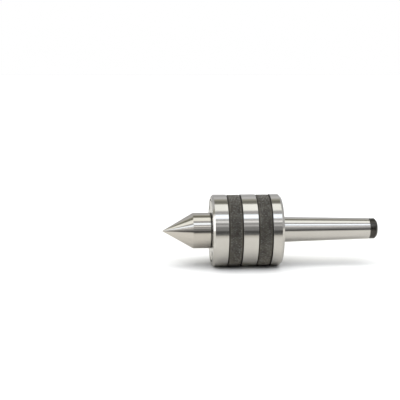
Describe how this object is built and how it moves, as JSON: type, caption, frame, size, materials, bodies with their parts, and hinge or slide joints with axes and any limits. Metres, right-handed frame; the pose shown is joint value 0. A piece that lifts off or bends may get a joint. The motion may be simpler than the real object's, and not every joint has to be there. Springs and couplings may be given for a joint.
{
  "type": "live center",
  "caption": "Rotating lathe center: a 60 degree point on a bearing-carried spindle, in a knurled round housing with a Morse taper No. 2 shank.",
  "frame": {"origin": "on the turning axis, at the gauge plane of the Morse taper No. 2 shank, 5 mm behind the housing's rear face", "axes": "+X along the turning axis, from the point towards the end of the shank; the part is one of revolution, so +Z is any side of it, and is up where it lies on a bench"},
  "size_m": [0.1533, 0.0506, 0.0506],
  "materials": {
    "ground_steel": "cylindrically ground, with blackened fine-knurled grip bands and a blackened shank end",
    "cover_steel": "turned face",
    "hardened_steel": "hardened and finely ground",
    "bearing_steel": "lapped",
    "pressed_steel": "pressed sheet, satin",
    "blackened_steel": "blackened spring steel",
    "cage_brass": "machined, satin",
    "seal_rubber": "matte nitrile"
  },
  "bodies": {
    "housing": {"housing": "ground_steel", "front_cover": "cover_steel", "oil_seal": "seal_rubber", "front_bearing_outer_ring": "bearing_steel", "thrust_housing_washer": "bearing_steel", "rear_bearing_outer_ring": "bearing_steel"},
    "spindle": {"spindle": "hardened_steel", "front_bearing_inner_ring": "bearing_steel", "spacer_sleeve": "hardened_steel", "thrust_shaft_washer": "bearing_steel", "rear_bearing_inner_ring": "bearing_steel", "circlip": "blackened_steel"},
    "front_ball_set": {"front_bearing_cage": "pressed_steel", "front_ball_1": "bearing_steel", "front_ball_2": "bearing_steel", "front_ball_3": "bearing_steel", "front_ball_4": "bearing_steel", "front_ball_5": "bearing_steel", "front_ball_6": "bearing_steel", "front_ball_7": "bearing_steel", "front_ball_8": "bearing_steel", "front_ball_9": "bearing_steel"},
    "thrust_ball_set": {"thrust_bearing_cage": "cage_brass", "thrust_ball_1": "bearing_steel", "thrust_ball_2": "bearing_steel", "thrust_ball_3": "bearing_steel", "thrust_ball_4": "bearing_steel", "thrust_ball_5": "bearing_steel", "thrust_ball_6": "bearing_steel", "thrust_ball_7": "bearing_steel", "thrust_ball_8": "bearing_steel", "thrust_ball_9": "bearing_steel", "thrust_ball_10": "bearing_steel", "thrust_ball_11": "bearing_steel", "thrust_ball_12": "bearing_steel"},
    "rear_ball_set": {"rear_bearing_cage": "pressed_steel", "rear_ball_1": "bearing_steel", "rear_ball_2": "bearing_steel", "rear_ball_3": "bearing_steel", "rear_ball_4": "bearing_steel", "rear_ball_5": "bearing_steel", "rear_ball_6": "bearing_steel", "rear_ball_7": "bearing_steel", "rear_ball_8": "bearing_steel"}
  },
  "joints": [
    {"name": "spindle_spin", "type": "hinge", "parent": "housing", "child": "spindle", "pos_m": [-0.0295, 0, 0], "axis": [1, 0, 0], "continuous": true},
    {"name": "front_balls_orbit", "type": "hinge", "parent": "housing", "child": "front_ball_set", "pos_m": [-0.0412, 0, 0], "axis": [1, 0, 0], "continuous": true},
    {"name": "thrust_balls_orbit", "type": "hinge", "parent": "housing", "child": "thrust_ball_set", "pos_m": [-0.027, 0, 0], "axis": [1, 0, 0], "continuous": true},
    {"name": "rear_balls_orbit", "type": "hinge", "parent": "housing", "child": "rear_ball_set", "pos_m": [-0.016, 0, 0], "axis": [1, 0, 0], "continuous": true}
  ],
  "couplings": [
    {"joint": "front_balls_orbit", "follows": "spindle_spin", "ratio": 0.3976},
    {"joint": "thrust_balls_orbit", "follows": "spindle_spin", "ratio": 0.5},
    {"joint": "rear_balls_orbit", "follows": "spindle_spin", "ratio": 0.381}
  ]
}
